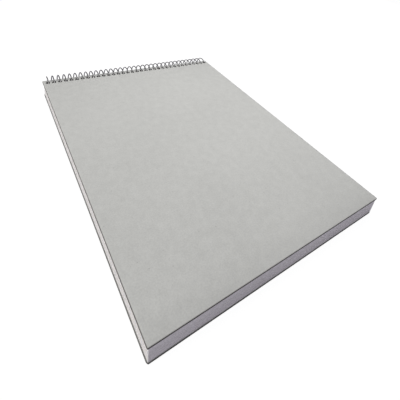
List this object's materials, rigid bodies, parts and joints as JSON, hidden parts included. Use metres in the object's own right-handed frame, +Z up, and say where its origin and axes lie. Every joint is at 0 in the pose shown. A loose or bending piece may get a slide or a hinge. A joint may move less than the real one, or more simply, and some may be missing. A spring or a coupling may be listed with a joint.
{
  "type": "ruled paper pad",
  "caption": "Spiral-bound pad of ruled paper: chipboard cover and back board, loose punched sheets, and one wound wire along the short edge that they turn on.",
  "frame": {"origin": "under the middle of the whole pad, level with the lowest point of the wire", "axes": "+X along the bound edge, +Y from the free edge to the bound edge, +Z up out of the front cover"},
  "size_m": [0.2286, 0.3196, 0.0255],
  "materials": {
    "chipboard": "matt grey board",
    "paper": "uncoated, pale ruled lines",
    "wire": "bright drawn wire"
  },
  "bodies": {
    "pad_base": {"back_board": "chipboard", "spiral_wire": "wire"},
    "sheet_01": {"sheet_01": "paper"},
    "sheet_02": {"sheet_02": "paper"},
    "sheet_03": {"sheet_03": "paper"},
    "sheet_04": {"sheet_04": "paper"},
    "sheet_05": {"sheet_05": "paper"},
    "sheet_06": {"sheet_06": "paper"},
    "sheet_07": {"sheet_07": "paper"},
    "sheet_08": {"sheet_08": "paper"},
    "sheet_09": {"sheet_09": "paper"},
    "sheet_10": {"sheet_10": "paper"},
    "sheets_011_020": {"sheets_011_020": "paper"},
    "sheets_021_030": {"sheets_021_030": "paper"},
    "sheets_031_040": {"sheets_031_040": "paper"},
    "sheets_041_050": {"sheets_041_050": "paper"},
    "sheets_051_060": {"sheets_051_060": "paper"},
    "sheets_061_070": {"sheets_061_070": "paper"},
    "sheets_071_080": {"sheets_071_080": "paper"},
    "sheets_081_090": {"sheets_081_090": "paper"},
    "sheets_091_100": {"sheets_091_100": "paper"},
    "front_cover": {"front_cover": "chipboard"}
  },
  "joints": [
    {"name": "sheet_fan", "type": "hinge", "parent": "pad_base", "child": "sheet_01", "pos_m": [0, 0.1471, 0.01273], "axis": [-1, 0, 0], "range_deg": [0, 15]},
    {"name": "sheet_02_lift", "type": "hinge", "parent": "pad_base", "child": "sheet_02", "pos_m": [0, 0.1471, 0.01273], "axis": [-1, 0, 0], "range_deg": [0, 14.21]},
    {"name": "sheet_03_lift", "type": "hinge", "parent": "pad_base", "child": "sheet_03", "pos_m": [0, 0.1471, 0.01273], "axis": [-1, 0, 0], "range_deg": [0, 13.42]},
    {"name": "sheet_04_lift", "type": "hinge", "parent": "pad_base", "child": "sheet_04", "pos_m": [0, 0.1471, 0.01273], "axis": [-1, 0, 0], "range_deg": [0, 12.63]},
    {"name": "sheet_05_lift", "type": "hinge", "parent": "pad_base", "child": "sheet_05", "pos_m": [0, 0.1471, 0.01273], "axis": [-1, 0, 0], "range_deg": [0, 11.84]},
    {"name": "sheet_06_lift", "type": "hinge", "parent": "pad_base", "child": "sheet_06", "pos_m": [0, 0.1471, 0.01273], "axis": [-1, 0, 0], "range_deg": [0, 11.05]},
    {"name": "sheet_07_lift", "type": "hinge", "parent": "pad_base", "child": "sheet_07", "pos_m": [0, 0.1471, 0.01273], "axis": [-1, 0, 0], "range_deg": [0, 10.26]},
    {"name": "sheet_08_lift", "type": "hinge", "parent": "pad_base", "child": "sheet_08", "pos_m": [0, 0.1471, 0.01273], "axis": [-1, 0, 0], "range_deg": [0, 9.47]},
    {"name": "sheet_09_lift", "type": "hinge", "parent": "pad_base", "child": "sheet_09", "pos_m": [0, 0.1471, 0.01273], "axis": [-1, 0, 0], "range_deg": [0, 8.68]},
    {"name": "sheet_10_lift", "type": "hinge", "parent": "pad_base", "child": "sheet_10", "pos_m": [0, 0.1471, 0.01273], "axis": [-1, 0, 0], "range_deg": [0, 7.89]},
    {"name": "sheets_011_020_lift", "type": "hinge", "parent": "pad_base", "child": "sheets_011_020", "pos_m": [0, 0.1471, 0.01273], "axis": [-1, 0, 0], "range_deg": [0, 7.11]},
    {"name": "sheets_021_030_lift", "type": "hinge", "parent": "pad_base", "child": "sheets_021_030", "pos_m": [0, 0.1471, 0.01273], "axis": [-1, 0, 0], "range_deg": [0, 6.32]},
    {"name": "sheets_031_040_lift", "type": "hinge", "parent": "pad_base", "child": "sheets_031_040", "pos_m": [0, 0.1471, 0.01273], "axis": [-1, 0, 0], "range_deg": [0, 5.53]},
    {"name": "sheets_041_050_lift", "type": "hinge", "parent": "pad_base", "child": "sheets_041_050", "pos_m": [0, 0.1471, 0.01273], "axis": [-1, 0, 0], "range_deg": [0, 4.74]},
    {"name": "sheets_051_060_lift", "type": "hinge", "parent": "pad_base", "child": "sheets_051_060", "pos_m": [0, 0.1471, 0.01273], "axis": [-1, 0, 0], "range_deg": [0, 3.95]},
    {"name": "sheets_061_070_lift", "type": "hinge", "parent": "pad_base", "child": "sheets_061_070", "pos_m": [0, 0.1471, 0.01273], "axis": [-1, 0, 0], "range_deg": [0, 3.16]},
    {"name": "sheets_071_080_lift", "type": "hinge", "parent": "pad_base", "child": "sheets_071_080", "pos_m": [0, 0.1471, 0.01273], "axis": [-1, 0, 0], "range_deg": [0, 2.37]},
    {"name": "sheets_081_090_lift", "type": "hinge", "parent": "pad_base", "child": "sheets_081_090", "pos_m": [0, 0.1471, 0.01273], "axis": [-1, 0, 0], "range_deg": [0, 1.58]},
    {"name": "sheets_091_100_lift", "type": "hinge", "parent": "pad_base", "child": "sheets_091_100", "pos_m": [0, 0.1471, 0.01273], "axis": [-1, 0, 0], "range_deg": [0, 0.789]},
    {"name": "cover_flip", "type": "hinge", "parent": "sheet_01", "child": "front_cover", "pos_m": [0, 0.1471, 0.01273], "axis": [-1, 0, 0], "range_deg": [0, 165]}
  ],
  "couplings": [
    {"joint": "sheet_02_lift", "follows": "sheet_fan", "ratio": 0.9474},
    {"joint": "sheet_03_lift", "follows": "sheet_fan", "ratio": 0.8947},
    {"joint": "sheet_04_lift", "follows": "sheet_fan", "ratio": 0.8421},
    {"joint": "sheet_05_lift", "follows": "sheet_fan", "ratio": 0.7895},
    {"joint": "sheet_06_lift", "follows": "sheet_fan", "ratio": 0.7368},
    {"joint": "sheet_07_lift", "follows": "sheet_fan", "ratio": 0.6842},
    {"joint": "sheet_08_lift", "follows": "sheet_fan", "ratio": 0.6316},
    {"joint": "sheet_09_lift", "follows": "sheet_fan", "ratio": 0.5789},
    {"joint": "sheet_10_lift", "follows": "sheet_fan", "ratio": 0.5263},
    {"joint": "sheets_011_020_lift", "follows": "sheet_fan", "ratio": 0.4737},
    {"joint": "sheets_021_030_lift", "follows": "sheet_fan", "ratio": 0.4211},
    {"joint": "sheets_031_040_lift", "follows": "sheet_fan", "ratio": 0.3684},
    {"joint": "sheets_041_050_lift", "follows": "sheet_fan", "ratio": 0.3158},
    {"joint": "sheets_051_060_lift", "follows": "sheet_fan", "ratio": 0.2632},
    {"joint": "sheets_061_070_lift", "follows": "sheet_fan", "ratio": 0.2105},
    {"joint": "sheets_071_080_lift", "follows": "sheet_fan", "ratio": 0.1579},
    {"joint": "sheets_081_090_lift", "follows": "sheet_fan", "ratio": 0.1053},
    {"joint": "sheets_091_100_lift", "follows": "sheet_fan", "ratio": 0.0526}
  ]
}
